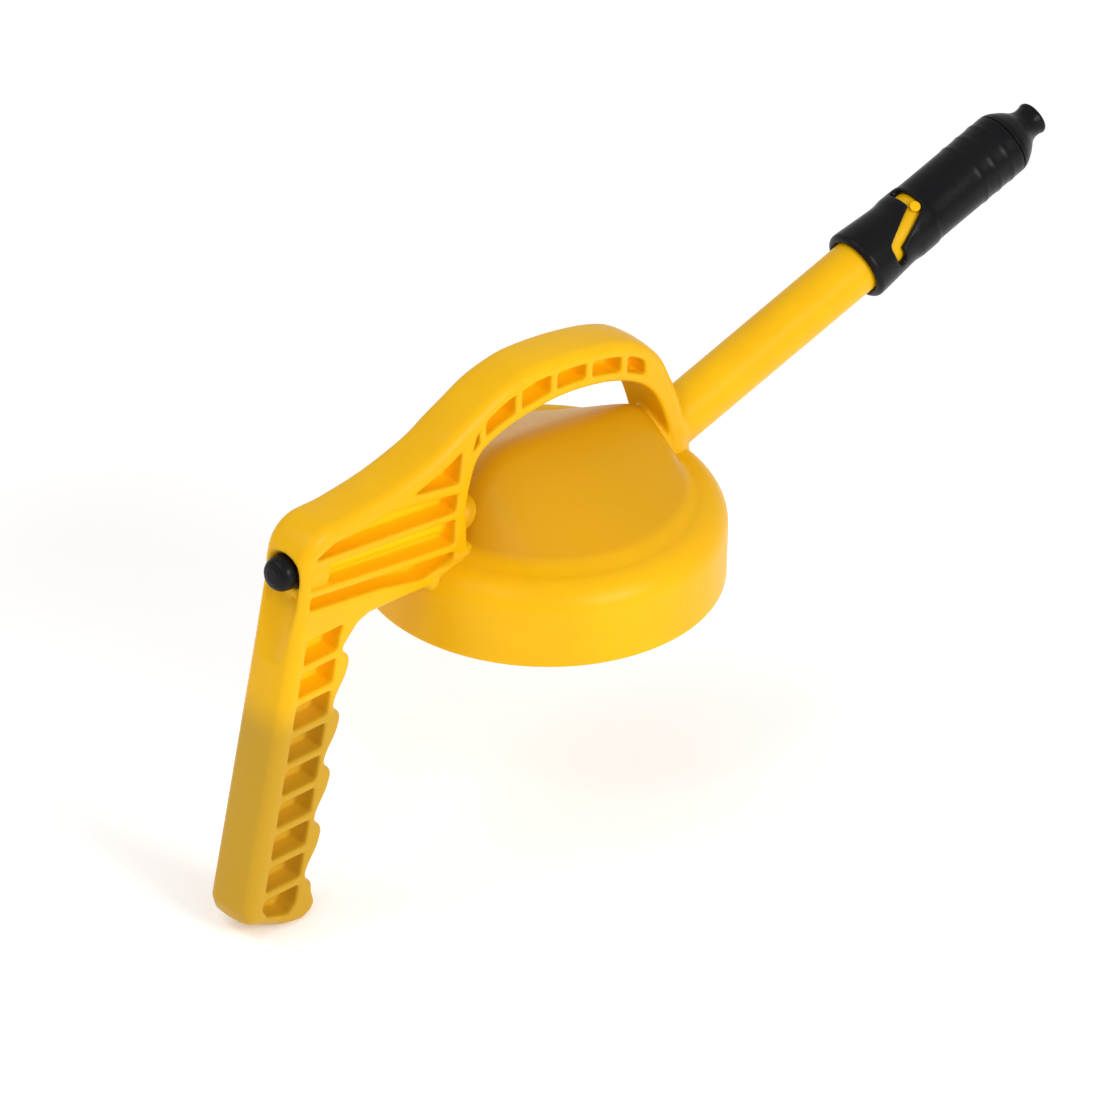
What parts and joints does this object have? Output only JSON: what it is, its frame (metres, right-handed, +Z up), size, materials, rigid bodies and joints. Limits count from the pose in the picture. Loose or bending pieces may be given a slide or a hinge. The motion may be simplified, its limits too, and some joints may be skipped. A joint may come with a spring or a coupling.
{
  "type": "pouring lid with spout and grip",
  "caption": "Screw-on pouring lid for a wide-mouth oil can, with a carrying handle, pistol grip, thumb vent button and a long spout ending in a twist nozzle.",
  "frame": {"origin": "on the lid's axis, in the plane of the skirt's bottom rim, where the can's neck enters", "axes": "+X forward along the spout's side view, +Z up along the lid's axis, +Y to the left of the pouring direction"},
  "size_m": [0.3864, 0.13, 0.1851],
  "materials": {
    "yellow_moulding": "satin-gloss moulded polyethylene, golden yellow",
    "black_moulding": "satin black moulded plastic",
    "seal_rubber": "matt black nitrile rubber",
    "spring_steel": "drawn stainless steel wire and rod",
    "valve_brass": "turned brass"
  },
  "bodies": {
    "lid": {"lid_cap": "yellow_moulding", "hopper_dome": "yellow_moulding", "neck_gasket": "seal_rubber", "handle_arch": "yellow_moulding", "handle_arm": "yellow_moulding", "grip": "yellow_moulding", "spout_tube": "yellow_moulding", "valve_plug": "black_moulding", "plug_seal": "seal_rubber", "spout_seal": "seal_rubber", "rod_guide": "black_moulding", "vent_seat_ring": "valve_brass", "button_spring": "spring_steel"},
    "wiper": {"sleeve_wiper": "seal_rubber"},
    "nozzle": {"nozzle_sleeve": "black_moulding", "nozzle_tip": "black_moulding"},
    "vent": {"thumb_button": "black_moulding", "vent_rod": "spring_steel", "vent_valve_seal": "seal_rubber", "vent_valve_head": "valve_brass", "rod_clip": "spring_steel"}
  },
  "joints": [
    {"name": "nozzle_advance", "type": "slide", "parent": "lid", "child": "wiper", "axis": [0.9563, 0, 0.2924], "range_m": [0, 0.0159]},
    {"name": "nozzle_twist", "type": "hinge", "parent": "wiper", "child": "nozzle", "pos_m": [0.19126, 0, 0.07407], "axis": [-0.9563, 0, -0.2924], "range_deg": [0, 36]},
    {"name": "vent_press", "type": "slide", "parent": "lid", "child": "vent", "axis": [0.9914, 0, -0.1305], "range_m": [0, 0.005], "stiffness_N_per_m": 350, "springref_m": -0.006, "deforming": ["button_spring"]}
  ],
  "couplings": [
    {"joint": "nozzle_advance", "follows": "nozzle_twist", "m_per_rad": 0.025146}
  ]
}
